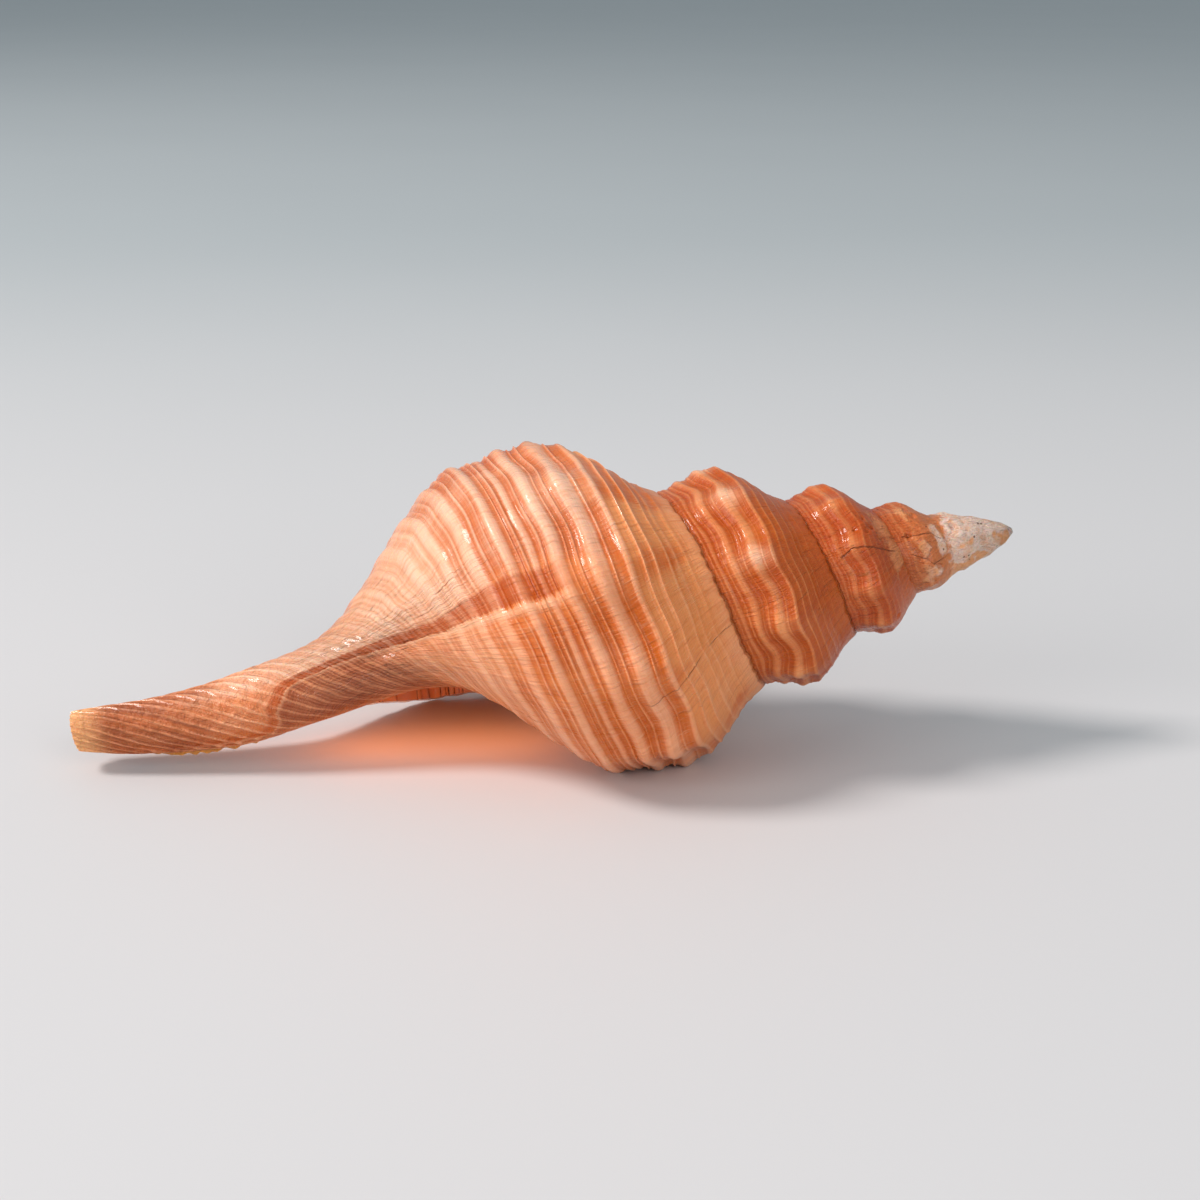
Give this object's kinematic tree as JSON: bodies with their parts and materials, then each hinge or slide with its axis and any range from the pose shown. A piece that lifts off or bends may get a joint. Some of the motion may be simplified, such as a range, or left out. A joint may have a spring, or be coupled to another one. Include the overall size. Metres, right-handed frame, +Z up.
{
  "type": "conch shell",
  "caption": "Spindle-shaped orange conch shell with a knobbed spire, corded body whorl, open aperture and long siphonal canal, lying on its aperture.",
  "frame": {"origin": "on the plane the shell rests on, under the middle of its bounding box", "axes": "+X along the shell from the canal to the apex of the spire, +Z up as it lies on its aperture, +Y to the side of the outer lip"},
  "size_m": [0.0992, 0.0394, 0.0329],
  "materials": {
    "shell": "satin natural shell, orange with pale cords"
  },
  "bodies": {
    "root": {"conch_shell": "shell"}
  },
  "joints": []
}
